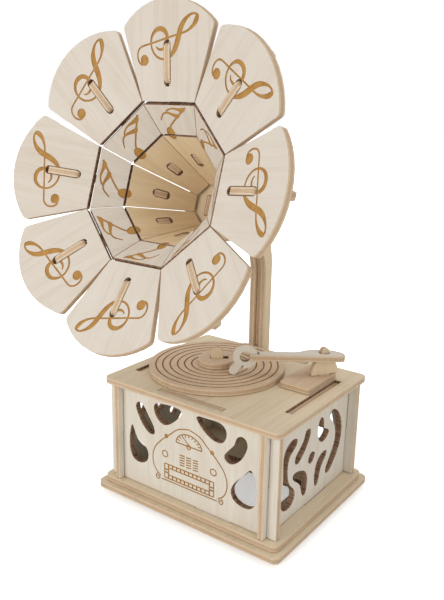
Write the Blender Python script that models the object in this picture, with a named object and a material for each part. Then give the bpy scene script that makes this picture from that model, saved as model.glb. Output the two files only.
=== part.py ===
"""A wooden 3D jigsaw model of a horn gramophone, pushed together from laser-cut plywood plates.

Lengths are in millimetres in the outlines and in metres in the scene. The model faces -Y, stands on its
panels' feet at z = 0, and its horn and neck lie in the plane x = 0.
"""

import math

import bmesh
import bpy
from mathutils import Matrix, Vector

MM = 0.001
PLY = 3.0  # thickness of the plywood sheet
GAP = 0.3  # clearance between two plates that touch
SLOT = PLY + 2 * GAP  # width of a slot that takes a plate

# Centre of the cabinet, beside the horn's plane
CABINET_X = 12.5
CABINET_Y = 18.66

# Heights of the cabinet's plates
LOWER_BOTTOM = 3.0
UPPER_BOTTOM = LOWER_BOTTOM + PLY + GAP
PANEL_BOTTOM = UPPER_BOTTOM + PLY + GAP
LID_TOP = 62.0
LID_BOTTOM = LID_TOP - PLY
PANEL_TOP = LID_BOTTOM - GAP
LAP_HEIGHT = 34.0  # where the crossing panels' slots meet
SIDE_TAB_TOP = LID_TOP - 1.2

# Plans of the cabinet's plates
LOWER_SIZE = (106.2, 88.6)
UPPER_SIZE = (101.6, 83.0)
LID_SIZE = (100.0, 82.6)
PLATE_CORNER = 3.0
BASE_OPENING = (-33.5, 33.5, -30.0, 13.5)
FRONT_HALF = 48.35  # half width of the front and back panels
SIDE_HALF = 40.9  # half width of the side panels
FRONT_IN = 34.8  # from the cabinet's centre to the inner face of the front and back panels
SIDE_IN = 40.6  # the same for the side panels
FRONT_FOOT = (4.5, 24.5)
FRONT_TAB = (-18.2, 18.2)
BACK_TAB = (-18.2, 4.0)  # seen from behind, so it stays clear of the neck
SIDE_FOOT = (-4.5, 15.5)
SIDE_TAB = (-21.0, 25.0)

# Turntable
TABLE_X = -12.5
TABLE_Y = 0.4
RECORD_RADIUS = 33.8
LABEL_RADIUS = 9.4
RECORD_BOTTOM = LID_TOP + GAP
LABEL_BOTTOM = RECORD_BOTTOM + PLY + GAP
LABEL_TOP = LABEL_BOTTOM + PLY
SPINDLE_TURN = 36.0  # degrees from +X, in plan
SPINDLE_HALF = 3.0
SPINDLE_HOLE = 4.0
SPINDLE_SLOT = (-3.3, 5.6)

# Tone arm
PIVOT_X = 35.8
PIVOT_Y = 21.4
ARM_TURN = 216.0  # direction of the arm from its pivot, in plan
ARM_BOTTOM = 73.3
ARM_LENGTH = 36.0
ARM_EDGE = 5.6  # from the pivot to the arm's straight edge
ARM_WIDTH = 5.6
PIVOT_HOLE = 2.7
HEAD_REACH = 38.0
HEAD_RADIUS = 6.0
HEAD_HOLE = 2.6
HEAD_MIDDLE = 1.1 + PLY  # the head's near face, across the arm from its pivot
POST_TURN = 60.0
POST_TOP = 78.9
PLATFORM = (24.0, 40.0, 0.5, 27.5)

# Horn: its meridian, as (distance from the axis, distance forward), from the throat to the rim
HORN_Y = -47.2
HORN_Z = 158.4
HORN_TILT = 18.0
SECTORS = 8
THROAT = (9.5, -43.7)
RING_IN = (23.0, -11.1)
RING_OUT = (33.26, 0.0)
PETAL_SLOPE = 18.7
PETAL_SIDE = 30.2  # length of a petal's straight sides, down its middle
PETAL_BULGE = 10.2
PETAL_HALF = 23.7
SIDE_GAP = 0.12  # from a horn panel's edge to the plane between two sectors
CREASE_GAP = 0.04  # from a horn panel's rear edge to the plane between two rings
PETAL_TAB = (7.7, 23.7)
PETAL_TAB_RISE = 0.4  # how far the tabs stand proud of the petals
TAB_ROUND = 2.2
INNER_TAB = (15.0, 22.0)
SLOT_SPARE = 1.05  # how far a rounded slot runs past each end of its tab

COLLAR_FRONT = -45.6
COLLAR_RADIUS = 17.0
TAIL_IN = 13.6
TAIL_OUT = 19.0

# Neck: three layers side by side
NECK_Y = 38.3
NECK_RADIUS = 34.0
NECK_FRONT_HALF = 3.0
NECK_END_HALF = 5.5
NECK_LEG = (31.0, 41.3)
NECK_LEG_BOTTOM = 44.0
NECK_LAP = 51.4


def arc(centre, radius, start, end, steps):
    """Points on a circle from start to end, in degrees, with both ends."""
    turns = [math.radians(start + (end - start) * i / steps) for i in range(steps + 1)]
    return [(centre[0] + radius * math.cos(t), centre[1] + radius * math.sin(t)) for t in turns]


def circle(centre, radius, steps):
    return arc(centre, radius, 0, 360, steps)[:-1]


def rectangle(left, right, low, high):
    return [(left, low), (right, low), (right, high), (left, high)]


def turned(points, centre, degrees):
    """The points turned about the origin and then moved to centre."""
    cos, sin = math.cos(math.radians(degrees)), math.sin(math.radians(degrees))
    return [(centre[0] + x * cos - y * sin, centre[1] + x * sin + y * cos) for x, y in points]


def stadium(low, high, width, steps=6):
    """A slot with round ends, along the second axis."""
    half = width / 2
    return arc((0, high - half), half, 0, 180, steps) + arc((0, low + half), half, 180, 360, steps)


def rounded(corners, steps=3):
    """An outline whose corners, given as (x, y, radius), are rounded."""
    points = []
    for i, (x, y, radius) in enumerate(corners):
        here = Vector((x, y))
        if radius == 0:
            points.append((x, y))
            continue
        before = (Vector(corners[i - 1][:2]) - here).normalized()
        after = (Vector(corners[(i + 1) % len(corners)][:2]) - here).normalized()
        half = before.angle(after) / 2
        middle = here + (before + after).normalized() * radius / math.sin(half)
        first = here + before * radius / math.tan(half) - middle
        last = here + after * radius / math.tan(half) - middle
        for step in range(steps + 1):
            spoke = first.lerp(last, step / steps).normalized() * radius
            points.append((middle.x + spoke.x, middle.y + spoke.y))
    return points


def smooth_loop(knots, per_span=2):
    """A closed curve through the knots."""
    points = []
    count = len(knots)
    for i in range(count):
        a, b, c, d = (Vector(knots[(i + k - 1) % count]) for k in range(4))
        for step in range(per_span):
            t = step / per_span
            bend = (2 * a - 5 * b + 4 * c - d) * t + (3 * b - a - 3 * c + d) * t * t
            point = b + (c - a + bend) * t / 2
            points.append((point.x, point.y))
    return points


def stepped(start, end, level, steps):
    """A straight edge at one level with square tabs or notches, each (from, to, level)."""
    points = [(start, level)]
    for first, last, to in steps:
        points += [(first, level), (first, to), (last, to), (last, level)]
    return points + [(end, level)]


def placed(origin, along, up):
    """A matrix that lays an outline's first axis along one direction and its second along another."""
    x, y = Vector(along).normalized(), Vector(up).normalized()
    z = x.cross(y)
    return Matrix(
        (
            (x.x, y.x, z.x, origin[0]),
            (x.y, y.y, z.y, origin[1]),
            (x.z, y.z, z.z, origin[2]),
            (0, 0, 0, 1),
        )
    )


def flat(height):
    """Places a plate level, in the cabinet's own plan."""
    return placed((CABINET_X, CABINET_Y, height), (1, 0, 0), (0, 1, 0))


def filled(loops):
    """Triangles that fill the first loop and leave out the others, as indices into all the points."""
    fill = bmesh.new()
    for loop in loops:
        corners = [fill.verts.new((x, y, 0)) for x, y in loop]
        for i, corner in enumerate(corners):
            fill.edges.new((corners[i - 1], corner))
    fill.verts.index_update()
    bmesh.ops.triangle_fill(fill, use_beauty=True, edges=fill.edges[:], normal=(0, 0, 1))
    triangles = [[corner.index for corner in face.verts] for face in fill.faces]
    fill.free()
    return triangles


def wood(name, colour):
    material = bpy.data.materials.new(name)
    material.use_nodes = True
    shader = material.node_tree.nodes["Principled BSDF"]
    shader.inputs["Base Color"].default_value = (*colour, 1)
    shader.inputs["Roughness"].default_value = 0.65
    shader.inputs["Metallic"].default_value = 0
    material.diffuse_color = (*colour, 1)
    return material


def add_plate(name, loops, place, colour, pivot=(0, 0, 0), thickness=PLY):
    """A flat plate: the first loop is its outline and the others are its openings."""
    points = [point for loop in loops for point in loop]
    count = len(points)
    low = [place @ Vector((x, y, 0)) for x, y in points]
    high = [place @ Vector((x, y, thickness)) for x, y in points]
    pivot = Vector(pivot)
    vertices = [(point - pivot) * MM for point in low + high]
    faces = []
    for a, b, c in filled(loops):
        faces += [(a, b, c), (a + count, b + count, c + count)]
    start = 0
    for loop in loops:
        for i in range(len(loop)):
            a, b = start + i, start + (i + 1) % len(loop)
            faces.append((a, b, b + count, a + count))
        start += len(loop)
    mesh = bpy.data.meshes.new(name)
    mesh.from_pydata(vertices, [], faces)
    solid = bmesh.new()
    solid.from_mesh(mesh)
    bmesh.ops.recalc_face_normals(solid, faces=solid.faces[:])
    solid.to_mesh(mesh)
    solid.free()
    mesh.polygons.foreach_set("use_smooth", [True] * len(mesh.polygons))
    mesh.set_sharp_from_angle(angle=math.radians(35))
    mesh.materials.append(wood(name, colour))
    plate = bpy.data.objects.new(name, mesh)
    plate.location = pivot * MM
    bpy.context.scene.collection.objects.link(plate)
    return plate


PALE = (0.72, 0.62, 0.5)
TAN = (0.6, 0.47, 0.33)
WARM = (0.62, 0.47, 0.29)


def rounded_plate(size):
    x, y = size[0] / 2, size[1] / 2
    corners = [(-x, -y), (x, -y), (x, y), (-x, y)]
    return rounded([(*corner, PLATE_CORNER) for corner in corners])


def foot_slots():
    """Slots in both base plates for the four panels' feet."""
    y, x = FRONT_IN - GAP, SIDE_IN - GAP
    front = [FRONT_FOOT[0] - GAP, FRONT_FOOT[1] + GAP]
    side = [SIDE_FOOT[0] - GAP, SIDE_FOOT[1] + GAP]
    return [
        rectangle(front[0], front[1], -y - SLOT, -y),
        rectangle(-front[1], -front[0], y, y + SLOT),
        rectangle(x, x + SLOT, side[0], side[1]),
        rectangle(-x - SLOT, -x, -side[1], -side[0]),
    ]


def make_base():
    left, right, low, high = BASE_OPENING
    corners = rectangle(left, right, low, high)
    opening = rounded([(*corner, 4.0) for corner in corners])
    plates = (("base_lower", LOWER_SIZE, LOWER_BOTTOM), ("base_upper", UPPER_SIZE, UPPER_BOTTOM))
    for name, size, height in plates:
        add_plate(name, [rounded_plate(size), opening, *foot_slots()], flat(height), TAN)


def neck_layers():
    """The two side layers of the neck, as (from, to) across the cabinet."""
    near, far = 0.5 * PLY + GAP, 1.5 * PLY + GAP
    return [(-CABINET_X - far, -CABINET_X - near), (-CABINET_X + near, -CABINET_X + far)]


def lid_outline():
    """A rounded plate with two notches in its back edge for the neck."""
    x, y = LID_SIZE[0] / 2, LID_SIZE[1] / 2
    notches = [(last + GAP, first - GAP, NECK_LEG[0] - GAP) for first, last in reversed(neck_layers())]
    back = [(*point, 0) for point in stepped(x, -x, y, notches)[1:-1]]
    front_and_right = [(-x, -y, PLATE_CORNER), (x, -y, PLATE_CORNER), (x, y, PLATE_CORNER)]
    return rounded([*front_and_right, *back, (-x, y, PLATE_CORNER)])


def post_slot():
    tongue = rectangle(-3.0 - GAP, 3.0 + GAP, -SLOT / 2, SLOT / 2)
    return turned(tongue, (PIVOT_X, PIVOT_Y), POST_TURN)


def make_lid():
    y, x = FRONT_IN - GAP, SIDE_IN - GAP
    slots = [
        rectangle(FRONT_TAB[0] - GAP, FRONT_TAB[1] + GAP, -y - SLOT, -y),
        rectangle(-BACK_TAB[1] - GAP, -BACK_TAB[0] + GAP, y, y + SLOT),
        rectangle(x, x + SLOT, SIDE_TAB[0] - GAP, SIDE_TAB[1] + GAP),
        rectangle(-x - SLOT, -x, -SIDE_TAB[1] - GAP, -SIDE_TAB[0] + GAP),
        circle((TABLE_X, TABLE_Y), SPINDLE_HOLE, 24),
        post_slot(),
    ]
    add_plate("lid", [lid_outline(), *slots], flat(LID_BOTTOM), TAN)


def lap_at(position, level):
    return (position - SLOT / 2, position + SLOT / 2, level)


def backwards(steps):
    """The same tabs and notches for an edge that is drawn from right to left."""
    return [(last, first, to) for first, last, to in reversed(steps)]


def front_cutouts():
    """Rounded openings of the front panel, as loops of (x, z)."""
    leaf = [(-30.5, 53), (-32.2, 50.5), (-30.8, 46.5), (-27.5, 41.5), (-23.8, 38.6), (-20.6, 39)]
    leaf += [(-20.8, 42.5), (-24.3, 47.8), (-27.3, 52)]
    low_left = [(-35.2, 39.6), (-36.6, 33), (-36.3, 26), (-33.8, 21.8), (-29.5, 21), (-25.6, 23.2)]
    low_left += [(-24.4, 27), (-26, 30.6), (-29.3, 32.2), (-32.3, 35), (-34, 38.8)]
    pick = [(-19.8, 55), (-20.6, 51.5), (-18.6, 47.6), (-14.8, 45.6), (-10.5, 47.2), (-6.5, 50.8)]
    pick += [(-4, 53.8), (-5.2, 56), (-12.2, 56.3)]
    top = [(4.6, 54.8), (6.5, 51.9), (10.5, 48.4), (15, 46.5), (19, 46.9), (21.2, 50.2)]
    top += [(20.8, 54), (17.5, 56.2), (11, 56.2), (6, 56)]
    bean = [(29, 53.2), (26.6, 51.4), (25.5, 48), (22.8, 44.8), (20.4, 41.6), (21, 39.2)]
    bean += [(23.8, 38.2), (27.5, 40.2), (30.5, 44), (32.4, 49), (31.6, 52.2)]
    low_right = [(33.9, 38.7), (30.8, 35), (26.6, 30.6), (24.2, 25.8), (25.4, 21.7), (29, 19.7)]
    low_right += [(33.5, 19.6), (36.8, 22.2), (37.9, 27.5), (37.2, 34), (35.6, 37.8)]
    return [smooth_loop(knots) for knots in (leaf, low_left, pick, bean, low_right, top)]


def side_cutouts():
    """Rounded openings of a side panel, as loops of (distance towards the panel's right end, z)."""
    wave = [(-14.6, 47.5), (-19, 48.6), (-23.6, 46.6), (-25.9, 42.5), (-25.8, 35.5), (-25.6, 29)]
    wave += [(-26.8, 24), (-26.8, 19), (-24.4, 15.7), (-20, 14.8), (-16.4, 16.2), (-14.6, 19.6)]
    wave += [(-16, 23.2), (-19.6, 26.6), (-21.6, 31), (-22, 37.5), (-19.8, 41.8), (-15.2, 44.4)]
    slim = [(-3.2, 48.2), (-6.8, 48.2), (-8.6, 44.4), (-12, 41.4), (-15.4, 38.8), (-15.6, 35.4)]
    slim += [(-12.6, 34.6), (-8.2, 37.4), (-4.4, 41.6), (-2.4, 45.6)]
    leaf = [(8.2, 49.6), (5.6, 48.4), (4.4, 44), (5.4, 39.6), (9, 36.4), (13, 36.8), (16, 39.2)]
    leaf += [(14.2, 41.4), (10.6, 43.2), (10.2, 47.2)]
    sickle = [(20.8, 49.4), (17, 49), (16.4, 46), (20.4, 42.2), (23, 36.6), (22.2, 30.6), (18.8, 25.6)]
    sickle += [(15.2, 20.8), (14.9, 17.4), (18.6, 17), (23.4, 20.8), (27.6, 26.2), (29.7, 32.6)]
    sickle += [(29, 39.8), (25.6, 45.8)]
    oval = [(0.8, 34.9), (-2, 34.5), (-3.4, 31.4), (-1.4, 29.4), (1.4, 30.4), (2.8, 33.2)]
    bow = [(13.6, 30.4), (9, 30), (4.9, 26.8), (3.4, 21), (4.2, 15.6), (6.6, 14.9), (8.2, 18)]
    bow += [(9.6, 22.8), (13.4, 26.4), (14.8, 28.8)]
    comma = [(-9.4, 29.4), (-13.6, 30.6), (-16.9, 30.2), (-16.6, 27.8), (-13.4, 25.2), (-10.2, 22.4)]
    comma += [(-8.8, 18.4), (-7, 15.3), (-4.6, 15.6), (-3.6, 19.4), (-3.8, 24.2), (-6, 27.6)]
    return [smooth_loop(knots) for knots in (wave, slim, leaf, sickle, oval, bow, comma)]


def front_outline(top_steps):
    """A front or back panel: a foot below, and slots from above that take the side panels."""
    side = SIDE_IN + PLY / 2
    laps = [lap_at(-side, LAP_HEIGHT - GAP / 2), lap_at(side, LAP_HEIGHT - GAP / 2)]
    top = sorted(laps + top_steps)
    low = stepped(-FRONT_HALF, FRONT_HALF, PANEL_BOTTOM, [(*FRONT_FOOT, 0.0)])
    return low + stepped(FRONT_HALF, -FRONT_HALF, PANEL_TOP, backwards(top))


def side_outline():
    """A side panel: a foot and slots below, and a tab above."""
    front = FRONT_IN + PLY / 2
    laps = [lap_at(-front, LAP_HEIGHT + GAP / 2), lap_at(front, LAP_HEIGHT + GAP / 2)]
    low = stepped(-SIDE_HALF, SIDE_HALF, PANEL_BOTTOM, sorted(laps + [(*SIDE_FOOT, 0.0)]))
    return low + stepped(SIDE_HALF, -SIDE_HALF, PANEL_TOP, [(SIDE_TAB[1], SIDE_TAB[0], SIDE_TAB_TOP)])


def upright(x, y, along):
    """Places a plate upright in the cabinet, with its outline's first axis along a level direction."""
    return placed((CABINET_X + x, CABINET_Y + y, 0), (*along, 0), (0, 0, 1))


def make_panels():
    front = front_outline([(*FRONT_TAB, LID_TOP)])
    add_plate("panel_front", [front, *front_cutouts()], upright(0, -FRONT_IN, (1, 0)), PALE)
    notches = [(-last - GAP, -first + GAP, NECK_LAP - GAP) for first, last in neck_layers()]
    back = front_outline([(*BACK_TAB, LID_TOP), *notches])
    add_plate("panel_back", [back, *front_cutouts()[:-1]], upright(0, FRONT_IN, (-1, 0)), PALE)
    add_plate("panel_right", [side_outline(), *side_cutouts()], upright(SIDE_IN, 0, (0, 1)), PALE)
    add_plate("panel_left", [side_outline(), *side_cutouts()], upright(-SIDE_IN, 0, (0, -1)), PALE)


def spindle_outline():
    """A tab with a round top, a shank through the turntable and a foot under the lid."""
    half, foot = SPINDLE_HALF, 6.0
    top = arc((0, LABEL_TOP + 2.6), half, 0, 180, 8)
    low, high = LID_BOTTOM - GAP - PLY, LID_BOTTOM - GAP
    return [(-half, high), (-foot, high), (-foot, low), (foot, low), (foot, high), (half, high), *top]


def make_turntable():
    axis = (CABINET_X + TABLE_X, CABINET_Y + TABLE_Y, 0)
    slot = turned(rectangle(*SPINDLE_SLOT, -SLOT / 2, SLOT / 2), (TABLE_X, TABLE_Y), SPINDLE_TURN)
    centre = (TABLE_X, TABLE_Y)
    record = [circle(centre, RECORD_RADIUS, 64), slot]
    add_plate("record", record, flat(RECORD_BOTTOM), TAN, axis)
    add_plate("label", [circle(centre, LABEL_RADIUS, 40), slot], flat(LABEL_BOTTOM), TAN, axis)
    turn = math.radians(SPINDLE_TURN)
    along = (math.cos(turn), math.sin(turn))
    x, y = TABLE_X - along[1] * PLY / 2, TABLE_Y + along[0] * PLY / 2
    add_plate("spindle", [spindle_outline()], upright(x, y, along), PALE, axis)


def post_outline():
    """A half-round support with a tongue below it and a round-topped pin above."""
    low, shoulder, tongue, pin = LID_TOP + 2 * GAP + PLY, ARM_BOTTOM - GAP, 3.0, 1.9
    width, height = 7.4, 8.6
    reach = math.degrees(math.asin((shoulder - low) / height))
    side = [(x * width, low + z * height) for x, z in arc((0, 0), 1, 0, reach, 6)]
    other = [(-x, z) for x, z in reversed(side)]
    top = arc((0, POST_TOP - pin), pin, 0, 180, 8)
    pin_foot = [(pin, shoulder)]
    foot = [(-tongue, low), (-tongue, LID_BOTTOM), (tongue, LID_BOTTOM), (tongue, low)]
    return foot + side + pin_foot + top + [(-pin, shoulder)] + other


def make_post():
    platform = rounded([(*corner, 1.0) for corner in rectangle(*PLATFORM)], 2)
    add_plate("arm_platform", [platform, post_slot()], flat(LID_TOP + GAP), TAN)
    turn = math.radians(POST_TURN)
    along = (math.cos(turn), math.sin(turn))
    x, y = PIVOT_X - along[1] * PLY / 2, PIVOT_Y + along[0] * PLY / 2
    add_plate("arm_post", [post_outline()], upright(x, y, along), PALE)


def arm_outline():
    """The arm from above: a straight near edge, a paddle round the pivot and a fork at the far end."""
    far = ARM_EDGE - ARM_WIDTH
    near_prong = HEAD_MIDDLE + GAP
    far_prong = near_prong - SLOT
    fork = ARM_LENGTH - 4.6
    paddle = [(14.5, far), (11.5, -0.9), (8.5, -2.9), (5.0, -3.9), (0.0, -4.2), (-4.5, -3.2), (-8.0, -0.8)]
    tip = [(-9.2, 1.0), (-9.4, 3.6), (-8.4, 5.2), (-6.6, ARM_EDGE)]
    end = [(ARM_LENGTH - 0.6, ARM_EDGE), (ARM_LENGTH, ARM_EDGE - 0.6), (ARM_LENGTH, near_prong)]
    end += [(fork, near_prong), (fork, far_prong), (ARM_LENGTH, far_prong), (ARM_LENGTH, far + 0.6)]
    return end + [(ARM_LENGTH - 0.6, far)] + paddle + tip


def head_outline():
    """A disc with a round-ended tail that points down to the record, as (outwards, up)."""
    slope, half, tip = -52.0, 2.1, 9.0
    meets = math.degrees(math.asin(half / HEAD_RADIUS))
    disc = arc((0, 0), HEAD_RADIUS, slope + meets, slope + 360 - meets - 6, 30)
    notch = arc((0, 0), HEAD_RADIUS - 1.4, slope + 360 - meets - 8, slope + 360 - meets - 2, 1)
    end = turned(arc((tip, 0), half, -90, 90, 8), (0, 0), slope)
    return disc + notch + end


def make_arm():
    pivot = (CABINET_X + PIVOT_X, CABINET_Y + PIVOT_Y, 0)
    turn = math.radians(ARM_TURN)
    along = Vector((math.cos(turn), math.sin(turn), 0))
    near = Vector((-along.y, along.x, 0))
    arm = [arm_outline(), circle((0, 0), PIVOT_HOLE, 20)]
    place = placed((pivot[0], pivot[1], ARM_BOTTOM), along, near)
    add_plate("tone_arm", arm, place, PALE, pivot)
    middle = Vector(pivot) + along * HEAD_REACH + near * HEAD_MIDDLE
    middle.z = ARM_BOTTOM + PLY / 2
    head = [head_outline(), circle((0, 0), HEAD_HOLE, 16)]
    add_plate("sound_head", head, placed(middle, along, (0, 0, 1)), PALE, pivot)


def horn_axes():
    tilt = math.radians(HORN_TILT)
    forward = Vector((0, -math.cos(tilt), math.sin(tilt)))
    up = Vector((0, math.sin(tilt), math.cos(tilt)))
    return forward, up


def horn_point(spoke, out, ahead):
    forward, _ = horn_axes()
    return Vector((0, CABINET_Y + HORN_Y, HORN_Z)) + spoke * out + forward * ahead


def spoke_of(sector):
    """The direction from the axis through the middle of a sector. The first sector is at the top."""
    _, up = horn_axes()
    turn = 2 * math.pi * sector / SECTORS
    return up * math.cos(turn) + Vector((1, 0, 0)) * math.sin(turn)


def meridian():
    """The slopes and lengths of the horn's three runs of panels, from the throat outwards."""
    runs = []
    for start, end in ((THROAT, RING_IN), (RING_IN, RING_OUT)):
        run = Vector(end) - Vector(start)
        runs.append((start, math.atan2(run.y, run.x), run.length))
    return runs + [(RING_OUT, math.radians(PETAL_SLOPE), PETAL_SIDE)]


def half_width(out):
    """Half the width of a horn panel at a distance from the axis, less its side clearance."""
    return out * math.tan(math.pi / SECTORS) - SIDE_GAP


def joint_setback(slope_in, slope_out):
    """How far a square-cut edge stays back from a crease, so that the two plates clear behind it."""
    return PLY * math.tan((slope_in - slope_out) / 2) + CREASE_GAP


def add_horn_panel(name, sector, run, loops, colour):
    start, slope, _ = run
    forward, _ = horn_axes()
    spoke = spoke_of(sector)
    outwards = spoke * math.cos(slope) + forward * math.sin(slope)
    front = forward * math.cos(slope) - spoke * math.sin(slope)
    place = placed(horn_point(spoke, *start) - front * PLY, outwards.cross(front), outwards)
    add_plate(name, loops, place, colour)


def petal_outline(setback):
    """A petal with straight sides and a bowed rim, on its own plate."""
    half = half_width(RING_OUT[0])
    start = half + (PETAL_HALF - half) * setback / PETAL_SIDE
    radius = (PETAL_HALF**2 + PETAL_BULGE**2) / (2 * PETAL_BULGE)
    middle = PETAL_SIDE + PETAL_BULGE - radius
    reach = math.degrees(math.atan2(PETAL_SIDE - middle, PETAL_HALF))
    rim = arc((0, middle), radius, reach, 180 - reach, 12)
    corners = [(-start, setback, 0), (start, setback, 0), (*rim[0], 2.2)]
    corners += [(*point, 0) for point in rim[1:-1]] + [(*rim[-1], 2.2)]
    return rounded(corners)


def panel_outline(run, setback_in, setback_out):
    """A panel that widens with its distance from the axis."""
    start, slope, length = run
    low, high = setback_in, length - setback_out
    narrow = half_width(start[0] + low * math.cos(slope))
    wide = half_width(start[0] + high * math.cos(slope))
    return [(-narrow, low), (narrow, low), (wide, high), (-wide, high)]


def tab_slot(tab):
    return stadium(tab[0] - SLOT_SPARE, tab[1] + SLOT_SPARE, SLOT)


def make_horn_panels():
    inner, middle, petal = meridian()
    crease_in = joint_setback(inner[1], middle[1])
    crease_out = joint_setback(middle[1], petal[1])
    for sector in range(SECTORS):
        number = sector + 1
        petal_loops = [petal_outline(crease_out), tab_slot(PETAL_TAB)]
        add_horn_panel(f"horn_petal_{number}", sector, petal, petal_loops, PALE)
        middle_loops = [panel_outline(middle, crease_in, crease_out)]
        add_horn_panel(f"horn_middle_{number}", sector, middle, middle_loops, PALE)
        inner_loops = [panel_outline(inner, 0, crease_in), tab_slot(INNER_TAB)]
        add_horn_panel(f"horn_inner_{number}", sector, inner, inner_loops, WARM)


def on_run(run, along, height):
    """A point of the rib's plane, measured along a run of panels and forwards from its front face."""
    start, slope, _ = run
    x = start[0] + along * math.cos(slope) - height * math.sin(slope)
    y = start[1] + along * math.sin(slope) + height * math.cos(slope)
    return (x, y)


def crease(run_in, run_out, height):
    """Where the two runs meet, at a height from their front faces."""
    start = run_out[0]
    normals = [Vector((-math.sin(run[1]), math.cos(run[1]))) for run in (run_in, run_out)]
    total = normals[0] + normals[1]
    shift = total * height / (1 + normals[0].dot(normals[1]))
    return (start[0] + shift.x, start[1] + shift.y)


def tab_on(run, tab, low, high, radius):
    """A tab with rounded corners, drawn from its outer end to its inner end."""
    first, last = tab[1], tab[0]
    outer = arc((first - radius, high - radius), radius, 0, 90, 3)
    inner = arc((last + radius, high - radius), radius, 90, 180, 3)
    points = [(first, low), *outer, *inner, (last, low)]
    return [on_run(run, along, height) for along, height in points]


def rib_outline():
    """A curved rib behind one sector's panels, with a tab for the petal and one for the inner panel."""
    inner, middle, petal = meridian()
    behind = -PLY - GAP
    tip = [on_run(petal, *place) for place in ((36.8, -7.6), (38.4, -6.6), (38.8, -4.8), (38.0, behind))]
    front = tip + tab_on(petal, PETAL_TAB, behind, PETAL_TAB_RISE, TAB_ROUND)
    front += [crease(middle, petal, behind), crease(inner, middle, behind)]
    front += tab_on(inner, INNER_TAB, behind, -GAP, 0.8)
    front += [on_run(inner, 0.4, behind), (TAIL_IN, COLLAR_FRONT - 0.4)]
    tail = [(TAIL_IN, -51.4), (TAIL_IN + 0.6, -52.0), (TAIL_OUT - 0.6, -52.0), (TAIL_OUT, -51.4)]
    back = [(19.6, -45.0), (22.6, -34.5), (26.4, -24.5), (31.4, -16.0)]
    back += [(38.0, -9.6), (46.0, -5.4), (55.0, -2.4)]
    return front + tail + back


def make_ribs():
    forward, _ = horn_axes()
    for sector in range(SECTORS):
        spoke = spoke_of(sector)
        across = spoke.cross(forward)
        place = placed(horn_point(spoke, 0, 0) - across * PLY / 2, spoke, forward)
        add_plate(f"horn_rib_{sector + 1}", [rib_outline()], place, PALE)


def collar_outline():
    """A disc with a notch for each rib's tail."""
    half = SLOT / 2
    edge = math.degrees(math.asin(half / COLLAR_RADIUS))
    step = 360 / SECTORS
    points = []
    for sector in range(SECTORS):
        notch = [(TAIL_IN - GAP, -half), (TAIL_IN - GAP, half)]
        points += turned(notch, (0, 0), sector * step)
        points += arc((0, 0), COLLAR_RADIUS, sector * step + edge, (sector + 1) * step - edge, 4)
    return points


def make_collar():
    forward, up = horn_axes()
    across = forward.cross(up)
    origin = horn_point(up, 0, COLLAR_FRONT - PLY)
    half = 1.5 * PLY + 2 * GAP
    tongue = 4.5 + GAP
    hole = rectangle(-tongue, tongue, -half, half)
    add_plate("horn_collar", [collar_outline(), hole], placed(origin, up, across), PALE)


def neck_spine():
    """The neck's centre line as (point, direction forwards, share of the way round), in (y, z)."""
    forward, _ = horn_axes()
    turn = math.radians(90 - HORN_TILT)
    # The bend ends on the horn's axis, so its height follows from its radius.
    end_y = NECK_Y - NECK_RADIUS * (1 - math.cos(turn))
    back = (end_y - HORN_Y) / -forward.y
    bend_z = HORN_Z - back * forward.z - NECK_RADIUS * math.sin(turn)
    spine = [((NECK_Y, LID_TOP + GAP), (-1, 0), 0)]
    steps = 10
    for step in range(steps + 1):
        t = turn * step / steps
        y = NECK_Y - NECK_RADIUS * (1 - math.cos(t))
        z = bend_z + NECK_RADIUS * math.sin(t)
        spine.append(((y, z), (-math.cos(t), -math.sin(t)), step / steps))
    return spine


def neck_edges(front, back, end):
    """The neck's front and back edges, which spread to the same half width at the horn."""
    inside, outside = [], []
    for (y, z), (dy, dz), share in neck_spine():
        near = front + (end - front) * share
        far = back + (end - back) * share
        inside.append((y + dy * near, z + dz * near))
        outside.append((y - dy * far, z - dz * far))
    return inside, outside


def along_axis(height, ahead):
    """A point beside the horn's axis, in (y, z)."""
    forward, up = horn_axes()
    return (HORN_Y + forward.y * ahead + up.y * height, HORN_Z + forward.z * ahead + up.z * height)


def neck_end(half, tongue):
    """The neck's end against the collar, drawn from its lower edge to its upper edge."""
    shoulder, tip = COLLAR_FRONT - PLY - GAP, COLLAR_FRONT + GAP
    points = [(-half, shoulder), (-tongue, shoulder), (-tongue, tip)]
    points += [(tongue, tip), (tongue, shoulder), (half, shoulder)]
    return [along_axis(height, ahead) for height, ahead in points]


def neck_leg():
    """The part of a side layer in and under the lid, slotted over the back panel."""
    low, top = NECK_LEG_BOTTOM, LID_TOP
    slot = (FRONT_IN + PLY / 2 - SLOT / 2, FRONT_IN + PLY / 2 + SLOT / 2)
    front, back = NECK_LEG
    points = [(back, low), (slot[1], low), (slot[1], NECK_LAP), (slot[0], NECK_LAP)]
    return points + [(slot[0], low), (front, low), (front, top)]


def make_neck():
    side_in, side_out = neck_edges(NECK_FRONT_HALF, NECK_FRONT_HALF, NECK_END_HALF)
    foot_in = (NECK_Y - NECK_FRONT_HALF, LID_TOP)
    side = [*neck_leg(), foot_in, *side_in[1:], *neck_end(NECK_END_HALF, 4.5), *reversed(side_out[1:])]
    core_in, core_out = neck_edges(1.2, 2.0, NECK_END_HALF - 1.2)
    core = [*core_in, *neck_end(NECK_END_HALF - 1.2, 4.0), *reversed(core_out)]
    layers = (("neck_left", side, -1), ("neck_middle", core, 0), ("neck_right", side, 1))
    for name, outline, layer in layers:
        # The plate's own thickness runs towards +X from here.
        x = layer * (PLY + GAP) - PLY / 2
        add_plate(name, [outline], placed((x, CABINET_Y, 0), (0, 1, 0), (0, 0, 1)), PALE)


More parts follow.
